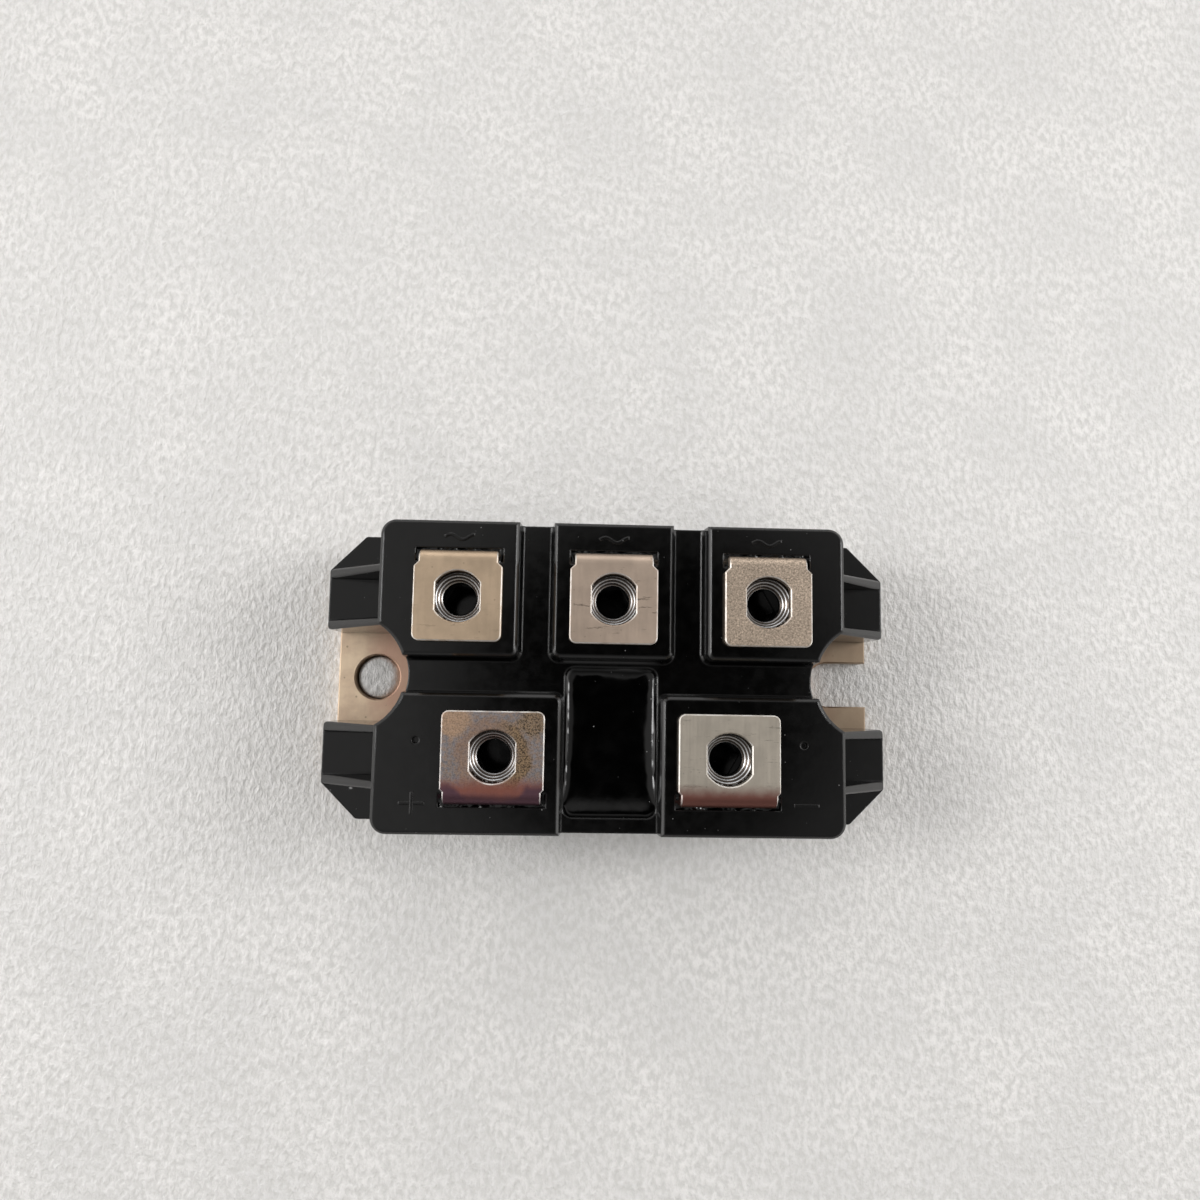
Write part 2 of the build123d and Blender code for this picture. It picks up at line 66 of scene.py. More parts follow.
# Nuts
THREAD_PITCH = 0.5 * MM
THREAD_DEPTH = 0.24 * MM
THREAD_ROWS = 8
THREAD_SLOPE = 1.2
THREAD_CREST = 0.2
THREAD_RUNOUT = 0.3 * THREAD_PITCH
COUNTERSINK = 1.1 * MM
COUNTERSINK_DEPTH = 1.6 * MM
# Share of painted shade on the nut's top face, under the tab
NUT_FACE_SHADE = 0.8
NUT_CORNER_CUT = 0.3 * MM
NUT_CORNER_SLOPE = math.radians(60)
NUT_SIDES = 96
HEXAGON_TURN = math.tau / 6
NUT_RIM_DROPS = (0.0, 0.08, 0.16, 0.24, 0.35, 0.5, 3.9, 4.0)
# Painted shade in the bore: the zinc darkens between these depths below the nut's top
NUT_BRIGHT_DEPTH = 1.3 * MM
NUT_DARK_DEPTH = 1.9 * MM

# Resin in the window: it creeps up the walls, steeply beside them and more gently at the front
WINDOW_CORNER = 1.2 * MM
RESIN_CREEP = 0.6 * MM
RESIN_STEEP_WIDTH = 0.46 * MM
RESIN_FRONT_CREEP = 0.9 * MM
RESIN_FRONT_WIDTH = 2.9 * MM
RESIN_SIDE_CREEP = 0.1 * MM
RESIN_SIDE_WIDTH = 0.8 * MM
RESIN_RAGGED_SIZE = 5 * MM
RESIN_FINER_SIZE = 0.3
RESIN_CREEP_RAGGED = (0.12, 0.06)
RESIN_WIDTH_RAGGED = (0.6, 0.25)
RESIN_SWELL = 0.05 * MM
RESIN_SWELL_SIZE = 6 * MM
RESIN_SKIRT = 0.4 * MM
RESIN_STEP = 0.25 * MM
RESIN_RINGS = 36
RESIN_RING_POWER = 2.0
RESIN_INNER_SHARE = 0.97
RESIN_RIM_BAND = 0.01 * MM
RESIN_LIFT = 0.08 * MM
CORNER_STEPS = 8

# Resin that has risen in the slots behind the tabs
SLOT_STEP = 0.2 * MM
SLOT_ACROSS_STEPS = 15
SLOT_DROP = 0.32 * MM
SLOT_SKIRT = 3 * SLOT_DROP
SLOT_LUMPS = 0.28 * MM
SLOT_LUMP_SIZE = 0.9 * MM
SLOT_FINER_SIZE = 0.35
SLOT_FINER_SHARE = 0.4
SLOT_GAP = 0.35 * MM
SLOT_INNER_GAP = 0.25 * MM
SLOT_END_GAP = 0.6 * MM
TAB_THICKNESS = 1.2 * MM
NECK_DEPTHS = (0.05 * MM, 0.6 * MM)

# Layers in which the unevenness is read, so that no two patterns are alike
RAGGED_LAYER = 0.0
FINER_LAYER = 3 * MM
SWELL_LAYER = 7 * MM
LUMP_LAYER = 11 * MM
FINER_LUMP_LAYER = 5 * MM

# Rounding of the moulded edges, seen only in how they shine
EDGE_ROUNDING = 0.3 * MM
ROUNDING_SAMPLES = 6

# Where painted shade darkens the right end of the base plate, along X, and where a painted warm reflection
# tints both ends pink
PLATE_SHADE_SPAN = (25 * MM, 34 * MM)
PLATE_SHADE_AMOUNT = 0.76
PLATE_REFLECTION_SPAN = (34 * MM, 39 * MM)
PLATE_REFLECTION_AMOUNT = 0.75
PLATE_WANDER = 5 * MM

# Chipped place on a rib
CHIP_PLACE = Vector((-35.9, -15.75, 10.0)) * MM
CHIP_SIZE = 0.75 * MM
CHIP_WHOLE = 0.4 * MM
CHIP_WANDER = 0.9 * MM

# Light: levels of the room, 0 for black, and the dim patch above the camera
LEFT_SKY = 0.56
RIGHT_SKY = 0.37
HORIZON_LIGHT = 2.0
FRONT_LIGHT = 0.18
BACK_LIGHT = 0.55
DARK_SPOT = Vector((0.085, 0.01, 1.0)).normalized()
DARK_SPOT_EDGE = (0.9703, 0.991)
DARK_SPOT_LIGHT = 0.02

# Where the levels change, as parts of the direction looked in
ACROSS_SPAN = (-0.3, 0.35)
HORIZON_SPAN = (0.2, 0.8)
FRONT_SPAN = (-0.8, -0.05)
BACK_SPAN = (0.25, 0.8)

# Lamps: name, place, size, and power in watts
LAMPS = (
    ("left", (-0.66, 0.08, 0.6), 0.26, 2.4),
    ("right", (0.66, 0.12, 0.56), 0.26, 2.2),
    ("back", (-0.1, 0.9, 0.5), 0.5, 0.5),
)
FLOOR_SIZE = 1.6

# Foam: pressed up into the round fixing hole, and its wrinkles
FIXING_PLACE = Vector((-34.0, 0.0, 0.0)) * MM
BULGE_RADIUS = 3.2 * MM
BULGE_HEIGHT = 2.35 * MM
BULGE_SIDES = 64
BULGE_RINGS = 14
BULGE_SIDE_POWER = 0.3
BULGE_TOP_POWER = 0.5
WRINKLE_DEPTH = 0.42 * MM

BACK_ROW = ("ac_1", "ac_2", "ac_3")

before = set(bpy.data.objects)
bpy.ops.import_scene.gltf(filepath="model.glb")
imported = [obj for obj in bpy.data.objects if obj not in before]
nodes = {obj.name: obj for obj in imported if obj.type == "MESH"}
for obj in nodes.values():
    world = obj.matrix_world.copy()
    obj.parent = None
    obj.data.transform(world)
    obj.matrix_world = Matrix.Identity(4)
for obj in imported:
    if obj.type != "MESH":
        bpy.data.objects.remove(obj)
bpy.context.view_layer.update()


# Places taken from the frame
def middle(node):
    """The centre of a node's box."""
    low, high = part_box(node)
    return (low + high) / 2


TAB_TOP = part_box("ac_1_terminal")[1].z
BLOCK_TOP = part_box("housing")[1].z
NUT_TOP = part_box("ac_1_nut")[1].z


# Shader building
class Finish:
    """A material's node tree, with short calls for the nodes that the finishes use."""

    def __init__(self, name):
        self.material = bpy.data.materials.new(name)
        self.material.use_nodes = True
        self.tree = self.material.node_tree
        self.surface = self.tree.nodes["Principled BSDF"]
        self.place = self.tree.nodes.new("ShaderNodeTexCoord").outputs["Object"]

    @classmethod
    def of_world(cls, world):
        """The same calls on a world's node tree, where the place is the direction looked in."""
        made = cls.__new__(cls)
        made.tree = world.node_tree
        made.surface = made.tree.nodes["Background"]
        made.place = made.tree.nodes.new("ShaderNodeTexCoord").outputs["Generated"]
        return made

    def plug(self, socket, value):
        """Links an output to a socket, or sets the socket to a plain value."""
        if isinstance(value, bpy.types.NodeSocket):
            self.tree.links.new(value, socket)
        else:
            socket.default_value = value

    def set(self, **values):
        """Sets the surface shader's sockets, by their names with underscores."""
        for name, value in values.items():
            self.plug(self.surface.inputs[name.replace("_", " ")], value)

    def node(self, kind, inputs=None, **settings):
        made = self.tree.nodes.new(kind)
        for name, value in settings.items():
            setattr(made, name, value)
        for key, value in (inputs or {}).items():
            self.plug(made.inputs[key], value)
        return made

    def stretched(self, scale, turn=0.0):
        """The place on the object, turned about Z and scaled along X, Y and Z."""
        made = self.node("ShaderNodeMapping", {
            "Vector": self.place, "Scale": scale, "Rotation": (0, 0, turn)})
        return made.outputs[0]

    def noise(self, size, detail=2.0, roughness=0.5, warp=0.0, place=None):
        """Soft random variation, with patches of about the given size in metres."""
        made = self.node("ShaderNodeTexNoise", {
            "Vector": place or self.place, "Scale": 1 / size, "Detail": detail,
            "Roughness": roughness, "Distortion": warp})
        return made.outputs["Fac"]

    def wander(self, size, reach, detail):
        """Soft random variation about zero, over a reach in metres."""
        about_zero = self.math("SUBTRACT", self.noise(size, detail=detail), 0.5)
        return self.math("MULTIPLY", about_zero, reach)

    def cells(self, size):
        """The distance to the nearest of scattered points, about the given size apart."""
        made = self.node("ShaderNodeTexVoronoi", {"Vector": self.place, "Scale": 1 / size})
        return made.outputs["Distance"]

    def specks(self, apart, radius, share):
        """Small dots: how far apart, their radius as a share of that, and the share of places used."""
        dots = self.span(self.cells(apart), radius * 0.6, radius, 1.0, 0.0)
        chosen = self.span(self.noise(apart * 1.7), 0.62 - share * 0.3, 0.66 - share * 0.3)
        return self.math("MULTIPLY", dots, chosen)

    def far_from(self, place):
        """The distance from a point on the object."""
        made = self.node("ShaderNodeVectorMath", {0: self.place, 1: place}, operation="DISTANCE")
        return made.outputs["Value"]

    def math(self, how, a, b=0.0):
        return self.node("ShaderNodeMath", {0: a, 1: b}, operation=how).outputs[0]

    def span(self, value, low, high, to_low=0.0, to_high=1.0):
        """A value carried smoothly from one range to another, held at its ends."""
        made = self.node("ShaderNodeMapRange", {
            "Value": value, "From Min": low, "From Max": high, "To Min": to_low, "To Max": to_high},
            interpolation_type="SMOOTHSTEP")
        return made.outputs[0]

    def blend(self, amount, first, second):
        """A colour between two others."""
        made = self.node("ShaderNodeMix", data_type="RGBA")
        self.plug(made.inputs["Factor"], amount)
        self.plug(made.inputs[6], first)
        self.plug(made.inputs[7], second)
        return made.outputs[2]

    def bump(self, height, depth, normal=None):
        """Relief of a depth in metres."""
        made = self.node("ShaderNodeBump", {"Height": height, "Distance": depth, "Strength": 1.0})
        if normal is not None:
            self.plug(made.inputs["Normal"], normal)
        return made.outputs[0]

    def rounded(self, radius):
        """A normal that rounds the edges a little more than the mesh does."""
        return self.node("ShaderNodeBevel", {"Radius": radius}, samples=ROUNDING_SAMPLES).outputs[0]

    def axis(self, name):
        return self.node("ShaderNodeSeparateXYZ", {0: self.place}).outputs[name]


def grey(level, warmth=0.0):
    """A near-neutral colour, with a little more red and less blue as warmth rises."""
    return (level * (1 + warmth), level, level * (1 - warmth), 1.0)


def colour_of(red, green, blue):
    return (red, green, blue, 1.0)


def times(colour, factor):
    """A colour made lighter or darker."""
    return tuple(min(part * factor, 1.0) for part in colour[:3]) + (1.0,)


# Colours of the tabs: nickel, each a little different, with heat tints on the plus tab, and of the painted
# shade on the nuts
WARM_NICKEL = colour_of(0.56, 0.43, 0.305)
ROSE_NICKEL = colour_of(0.55, 0.44, 0.355)
PALE_NICKEL = colour_of(0.53, 0.43, 0.34)
GREY_NICKEL = colour_of(0.51, 0.46, 0.39)
BLUED_NICKEL = colour_of(0.32, 0.297, 0.305)
HEAT_BROWN = colour_of(0.42, 0.31, 0.245)
HEAT_ORANGE = colour_of(0.58, 0.39, 0.26)
HEAT_RING = colour_of(0.4, 0.25, 0.17)
HEAT_GOLD = colour_of(0.38, 0.26, 0.145)
HEAT_SPECK = colour_of(0.05, 0.04, 0.035)
HEAT_RED = colour_of(0.29, 0.105, 0.08)
HEAT_VIOLET = colour_of(0.12, 0.065, 0.085)
# Reddish bend of the minus tab: copper showing through, and a painted warm reflection
BEND_STAIN_AND_REFLECTION = colour_of(0.2, 0.075, 0.06)
BEND_STAIN_AND_REFLECTION_SPAN = (-1.1 * MM, 0.9 * MM)
BEND_STAIN_AND_REFLECTION_AMOUNT = 0.95
BEND_LENGTH = 2.1 * MM
# Painted highlight on the tabs' chamfers
EDGE_HIGHLIGHT = colour_of(0.85, 0.83, 0.8)
# Painted shade in the nuts' grooves and on their top faces
GROOVE_SHADE = colour_of(0.075, 0.06, 0.05)
GROOVE_SHADE_SPAN = (0.14, 0.45)

# Colours of the base plate
PLATE_DARKER = colour_of(0.66, 0.5, 0.365)
PLATE_LIGHTER = colour_of(0.85, 0.68, 0.495)
# Painted warm reflection at both ends of the plate
PLATE_PINK = colour_of(0.6, 0.36, 0.27)
PLATE_PIT = colour_of(0.2, 0.13, 0.08)
# Painted shade at the right end of the plate
PLATE_SHADE = colour_of(0.27, 0.2, 0.14)

# Painted shade of the foam in its wrinkles
FOAM_SHADE = colour_of(0.67, 0.66, 0.64)

# Places of the heat tints on the plus tab: distances from its middle, its hole and its bend
HEAT_WANDER = 2.2 * MM
HEAT_CORNER_X = 5 * MM
HEAT_CORNER_Y = 4.5 * MM
ORANGE_SPAN = (1.6 * MM, 2.6 * MM)
GOLD_SPAN = (1.3 * MM, 2.4 * MM)
GOLD_SIDE = 3 * MM
RING_INSIDE = (2.6 * MM, 3.4 * MM)
RING_OUTSIDE = (4.3 * MM, 5.1 * MM)
RED_SPAN = (-1.9 * MM, 0.2 * MM)
VIOLET_SPAN = (0.2 * MM, 1.8 * MM)
VIOLET_ENDS = (3.2 * MM, 5.4 * MM)
VIOLET_RISE = 1.4 * MM


# Finishes
def moulded_plastic():
    """Black glass-filled plastic: satin, a little wavy, with dust, and a chipped place on a rib."""
    finish = Finish("case")
    dust = finish.math("MAXIMUM", finish.specks(1.9 * MM, 0.055, 0.4), finish.specks(0.9 * MM, 0.055, 0.3))
    colour = finish.blend(finish.noise(9 * MM, detail=3), grey(0.0008), grey(0.0014, 0.05))
    colour = finish.blend(dust, colour, grey(0.13))
    ragged = finish.math("MULTIPLY", finish.noise(0.35 * MM, detail=3), CHIP_WANDER)
    from_chip = finish.math("ADD", finish.far_from(CHIP_PLACE), ragged)
    chipped = finish.span(from_chip, CHIP_WHOLE, CHIP_SIZE, 1.0, 0.0)
    finish.set(Base_Color=finish.blend(chipped, colour, grey(0.6)))
    rough = finish.span(finish.noise(1.4 * MM, detail=4), 0.3, 0.7, 0.1, 0.17)
    finish.set(Roughness=finish.math("ADD", rough, finish.math("MULTIPLY", dust, 0.3)))
    waves = finish.bump(finish.noise(6 * MM, detail=1), 0.01 * MM, finish.rounded(EDGE_ROUNDING))
    finish.set(Normal=finish.bump(finish.noise(0.6 * MM, detail=2), 0.002 * MM, waves))
    return finish.material


def black_resin():
    """Glossy potting resin, nearly black, with a few specks in it."""
    finish = Finish("resin")
    specks = finish.math("MAXIMUM", finish.specks(1.9 * MM, 0.06, 0.5), finish.specks(1.1 * MM, 0.06, 0.4))
    finish.set(Base_Color=finish.blend(specks, grey(0.0002), grey(0.25)))
    finish.set(Roughness=finish.span(finish.noise(2.5 * MM, detail=3), 0.3, 0.75, 0.08, 0.16))
    finish.set(Normal=finish.bump(finish.noise(1.2 * MM, detail=2), 0.006 * MM))
    return finish.material


def nickel(name, tint, marks=0.5, grain=0.0, pits=0.3):
    """Satin nickel on a stamped strip, with rolling lines, pits, scratches and, where asked, grain."""
    finish = Finish(name)
    rolled = finish.noise(0.3 * MM, detail=3, place=finish.stretched((1.0, 0.05, 1.0)))
    cloud = finish.noise(3.5 * MM, detail=4, roughness=0.6)
    colour = finish.blend(finish.span(cloud, 0.3, 0.7), times(tint, 0.9), times(tint, 1.08))
    aslant = finish.stretched((0.25, 1.8, 1.0), 0.1)
    scratches = finish.noise(1.1 * MM, detail=5, roughness=0.75, place=aslant)
    scratched = finish.math("MULTIPLY", finish.span(scratches, 0.6, 0.68), marks)
    colour = finish.blend(scratched, colour, times(tint, 0.2))
    pitted = finish.math("MULTIPLY", finish.specks(0.9 * MM, 0.16, 0.3), pits)
    colour = finish.blend(pitted, colour, times(tint, 0.25))
    if grain:
        speckle = finish.noise(0.26 * MM, detail=4, roughness=0.8)
        dark = finish.math("MULTIPLY", finish.span(speckle, 0.5, 0.6), grain)
        light = finish.math("MULTIPLY", finish.span(speckle, 0.38, 0.46, 1.0, 0.0), grain)
        colour = finish.blend(dark, colour, times(tint, 0.42))
        colour = finish.blend(light, colour, times(tint, 1.7))
    rough = finish.span(rolled, 0.3, 0.7, 0.45, 0.5)
    finish.set(Metallic=1.0, Base_Color=colour)
    finish.set(Roughness=finish.math("ADD", rough, finish.math("MULTIPLY", scratched, 0.15)))
    relief = finish.bump(rolled, 0.0006 * MM, finish.bump(cloud, 0.01 * MM))
    finish.set(Normal=finish.bump(scratches, 0.004 * MM, relief))
    return finish, colour


def reddened_bend(finish, colour, bend):
    """A reddish bend on a front tab: copper showing through the plating, and a painted warm reflection."""
    past = finish.math("SUBTRACT", bend, finish.axis("Y"))
    ragged = finish.wander(1.3 * MM, 0.8 * MM, detail=3)
    reddened = finish.span(finish.math("ADD", past, ragged), *BEND_STAIN_AND_REFLECTION_SPAN, 0.0, BEND_STAIN_AND_REFLECTION_AMOUNT)
    return finish.blend(reddened, colour, BEND_STAIN_AND_REFLECTION)


def heat_tints(finish, colour, name, bend):
    """Heat colours on the plus tab: brown and orange patches, a speckled golden ring, and a red bend."""
    centre = middle(f"{name}_terminal")
    hole = middle(f"{name}_nut")
    mottled = finish.span(finish.noise(0.5 * MM, detail=4, roughness=0.7), 0.43, 0.58, 0.0, 0.8)
    colour = finish.blend(mottled, colour, HEAT_BROWN)
    wander = finish.wander(1.6 * MM, HEAT_WANDER, detail=5)
    corner = finish.far_from((centre.x - HEAT_CORNER_X, centre.y + HEAT_CORNER_Y, TAB_TOP))
    cornered = finish.span(finish.math("ADD", corner, wander), *ORANGE_SPAN, 0.85, 0.0)
    colour = finish.blend(cornered, colour, HEAT_ORANGE)
    offset = finish.math("ADD", finish.far_from((hole.x, hole.y, TAB_TOP)), wander)
    ring = finish.math("MULTIPLY", finish.span(offset, *RING_INSIDE),
                       finish.span(offset, *RING_OUTSIDE, 1.0, 0.0))
    colour = finish.blend(finish.math("MULTIPLY", ring, 0.55), colour, HEAT_RING)
    speckle = finish.noise(0.22 * MM, detail=4, roughness=0.8)
    side = finish.span(finish.math("ADD", finish.axis("X"), wander), centre.x, centre.x + GOLD_SIDE)
    far_corner = finish.far_from((centre.x + HEAT_CORNER_X, centre.y + HEAT_CORNER_Y, TAB_TOP))
    far_cornered = finish.span(finish.math("ADD", far_corner, wander), *GOLD_SPAN, 0.9, 0.0)
    golden = finish.math("MAXIMUM", finish.math("MULTIPLY", ring, side), far_cornered)
    colour = finish.blend(finish.math("MULTIPLY", golden, 0.8), colour, HEAT_GOLD)
    pits = finish.math("MULTIPLY", finish.span(speckle, 0.46, 0.58), finish.span(golden, 0.0, 1.0, 0.4, 0.9))
    colour = finish.blend(pits, colour, HEAT_SPECK)
    past = finish.math("SUBTRACT", bend, finish.axis("Y"))
    low = finish.math("ADD", past, finish.math("MULTIPLY", wander, 0.5))
    colour = finish.blend(finish.span(low, *RED_SPAN, 0.0, 0.9), colour, HEAT_RED)
    to_end = finish.math("ABSOLUTE", finish.math("SUBTRACT", finish.axis("X"), centre.x))
    ends = finish.span(finish.math("ADD", to_end, wander), *VIOLET_ENDS, 0.0, VIOLET_RISE)
    darkest = finish.span(finish.math("ADD", low, ends), *VIOLET_SPAN, 0.0, 0.95)
    return finish.blend(darkest, colour, HEAT_VIOLET)


def bright_edges(finish, colour, free_way):
    """Painted highlight on the chamfers round a tab, chosen by the way that they face, in ragged patches."""
    facing = finish.node("ShaderNodeNewGeometry").outputs["True Normal"]
    parts = finish.node("ShaderNodeSeparateXYZ", {0: facing})
    sideways = finish.math("ABSOLUTE", parts.outputs["X"])
    freely = finish.math("MULTIPLY", parts.outputs["Y"], free_way)
    tilted = finish.span(finish.math("MAXIMUM", sideways, freely), 0.3, 0.6)
    upward = finish.span(parts.outputs["Z"], 0.2, 0.5)
    highlight_patches = finish.span(finish.noise(1.2 * MM, detail=3), 0.35, 0.6, 0.35, 0.8)
    highlighted = finish.math("MULTIPLY", finish.math("MULTIPLY", tilted, upward), highlight_patches)
    return finish.blend(highlighted, colour, EDGE_HIGHLIGHT)


def bright_zinc():
    """Bright zinc on the nuts, cool and rather glossy, with painted shade in the thread's grooves, on the
    top face and deeper in the bore.
    """
    finish = Finish("nut")
    cloud = finish.noise(0.8 * MM, detail=3)
    colour = finish.blend(cloud, grey(0.55, -0.03), grey(0.78, -0.01))
    # Painted shade in the thread's grooves and on the top face, from the groove attribute
    groove_shade = finish.node("ShaderNodeAttribute", attribute_name="groove").outputs["Fac"]
    colour = finish.blend(finish.span(groove_shade, *GROOVE_SHADE_SPAN), colour, GROOVE_SHADE)
    # Painted shade, darker deeper in the bore
    depth = finish.math("SUBTRACT", NUT_TOP, finish.axis("Z"))
    shaded_bore = finish.span(depth, NUT_BRIGHT_DEPTH, NUT_DARK_DEPTH)
    finish.set(Base_Color=finish.blend(shaded_bore, colour, grey(0.012, 0.1)), Metallic=1.0)
    finish.set(Roughness=finish.span(finish.noise(0.5 * MM, detail=2), 0.3, 0.7, 0.26, 0.36))
    return finish.material


def plated_base():
    """Nickel-plated copper: warm, satin, finely grained, pinker at both ends with a painted warm reflection,
    and darker at the right end with painted shade.
    """
    finish = Finish("plate")
    lines = finish.noise(0.3 * MM, detail=3, place=finish.stretched((1.0, 0.1, 1.0)))
    cloud = finish.noise(3.5 * MM, detail=4, roughness=0.6)
    colour = finish.blend(finish.span(cloud, 0.3, 0.7), PLATE_DARKER, PLATE_LIGHTER)
    ragged = finish.math("MULTIPLY", finish.noise(2.4 * MM, detail=3), PLATE_WANDER)
    away = finish.math("ADD", finish.math("ABSOLUTE", finish.axis("X")), ragged)
    # Painted warm reflection, pinker towards both ends
    warm_reflection = finish.span(away, *PLATE_REFLECTION_SPAN, PLATE_REFLECTION_AMOUNT, 0.0)
    colour = finish.blend(warm_reflection, colour, PLATE_PINK)
    pitted = finish.math("MULTIPLY", finish.specks(1.4 * MM, 0.14, 0.35), 0.5)
    colour = finish.blend(pitted, colour, PLATE_PIT)
    # Painted shade over the right end of the plate
    right_end_shade = finish.span(finish.axis("X"), *PLATE_SHADE_SPAN, 0.0, PLATE_SHADE_AMOUNT)
    finish.set(Base_Color=finish.blend(right_end_shade, colour, PLATE_SHADE), Metallic=1.0)
    finish.set(Roughness=finish.span(lines, 0.3, 0.7, 0.4, 0.5))
    finish.set(Normal=finish.bump(lines, 0.002 * MM, finish.bump(cloud, 0.012 * MM)))
    return finish.material


def copper():
    """Bare copper inside the module, a little oxidised."""
    finish = Finish("copper")
    cloud = finish.noise(2 * MM, detail=4)
    colour = finish.blend(cloud, colour_of(0.75, 0.36, 0.22), colour_of(0.88, 0.5, 0.34))
    finish.set(Base_Color=colour, Metallic=1.0)
    finish.set(Roughness=finish.span(cloud, 0.3, 0.7, 0.28, 0.45))
    finish.set(Normal=finish.bump(finish.noise(0.4 * MM), 0.002 * MM))
    return finish.material


def ceramic():
    """White alumina, matt and finely grained."""
    finish = Finish("ceramic")
    grain = finish.noise(0.15 * MM, detail=2)
    finish.set(Base_Color=finish.blend(grain, grey(0.7, 0.02), grey(0.8, 0.02)))
    finish.set(Roughness=0.6, Normal=finish.bump(grain, 0.002 * MM))
    return finish.material


def silicon():
    """Diode chips: dark grey silicon with a metallised face."""
    finish = Finish("chip")
    cloud = finish.noise(1.2 * MM, detail=2)
    finish.set(Base_Color=finish.blend(cloud, grey(0.3, 0.01), grey(0.42, 0.01)), Metallic=0.9)
    finish.set(Roughness=finish.span(cloud, 0.3, 0.7, 0.2, 0.3))
    return finish.material


def clear_gel():
    """Soft silicone filling, clear and slightly milky."""
    finish = Finish("gel")
    cloud = finish.noise(3 * MM, detail=2)
    finish.set(Base_Color=finish.blend(cloud, grey(0.75, 0.02), grey(0.85, 0.01)))
    finish.set(Roughness=0.12, IOR=1.41, Transmission_Weight=0.9)
    return finish.material


def foam_sheet():
    """The pale floor: white foam with a fine, wrinkled, pebbled surface."""
    finish = Finish("floor")
    place = finish.stretched((1.0, 0.62, 1.0), 0.15)
    wrinkles = finish.noise(0.85 * MM, detail=4, roughness=0.6, warp=0.1, place=place)
    patches = finish.noise(16 * MM, detail=3)
    colour = finish.blend(finish.span(patches, 0.3, 0.7), grey(0.75, 0.014), grey(0.84, 0.02))
    # Painted shade in the hollows of the wrinkles
    colour = finish.blend(finish.span(wrinkles, 0.35, 0.65), FOAM_SHADE, colour)
    finish.set(Base_Color=colour, Roughness=0.4, Normal=finish.bump(wrinkles, WRINKLE_DEPTH))
    return finish.material


# Shapes made here
def put(name, data):
    """A new object of the scene, made from a mesh, a lamp or a camera."""
    made = bpy.data.objects.new(name, data)
    bpy.context.scene.collection.objects.link(made)
    return made


def uneven(x, y, layer, size):
    """Smooth random variation over the plane, about zero, with patches of about the given size."""
    return noise.noise(Vector((x, y, layer)) / size)


def add_piece(name, mesh, finish, sharp_angle=35.0):
    """A mesh made an object of the module: smooth but for its sharp edges, riding on its only body."""
    mark_edges(mesh, sharp_angle)
    mesh.materials.append(finish)
    piece = put(name, mesh)
    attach(piece, "root")
    return piece


def mark_edges(mesh, sharp_angle):
    """Turns the faces outwards and smooths them, but for edges sharper than an angle in degrees."""
    work = bmesh.new()
    work.from_mesh(mesh)
    bmesh.ops.remove_doubles(work, verts=work.verts, dist=SAME_PLACE)
    bmesh.ops.dissolve_degenerate(work, edges=work.edges, dist=SAME_PLACE)
    bmesh.ops.recalc_face_normals(work, faces=work.faces)
    for face in work.faces:
        face.smooth = True
    for edge in work.edges:
        edge.smooth = edge.calc_face_angle(0.0) < math.radians(sharp_angle)
    work.to_mesh(mesh)
    work.free()


def rings_mesh(name, rings, closed, climb=0, climbing=0):
    """A mesh from rings of as many points each. A closed one joins its last ring to its first.

    The first rings, as many as climbing, may each climb by so many rings in one turn.
    """
    count = len(rings[0])
    points = [point for ring in rings for point in ring]
    faces = []
    for level in range(len(rings) if closed else len(rings) - 1):
        for step in range(count):
            after = (step + 1) % count
            wraps = after == 0 and level + 1 < climbing
            low = min(level + climb, climbing - 1) if wraps else level
            high = min(level + climb + 1, climbing - 1) if wraps else (level + 1) % len(rings)
            faces.append((level * count + step, low * count + after,
                          high * count + after, (level + 1) % len(rings) * count + step))
    if not closed:
        faces.append(tuple(reversed(range(count))))
        faces.append(tuple(range(len(points) - count, len(points))))
    mesh = bpy.data.meshes.new(name)
    mesh.from_pydata(points, [], faces)
    return mesh


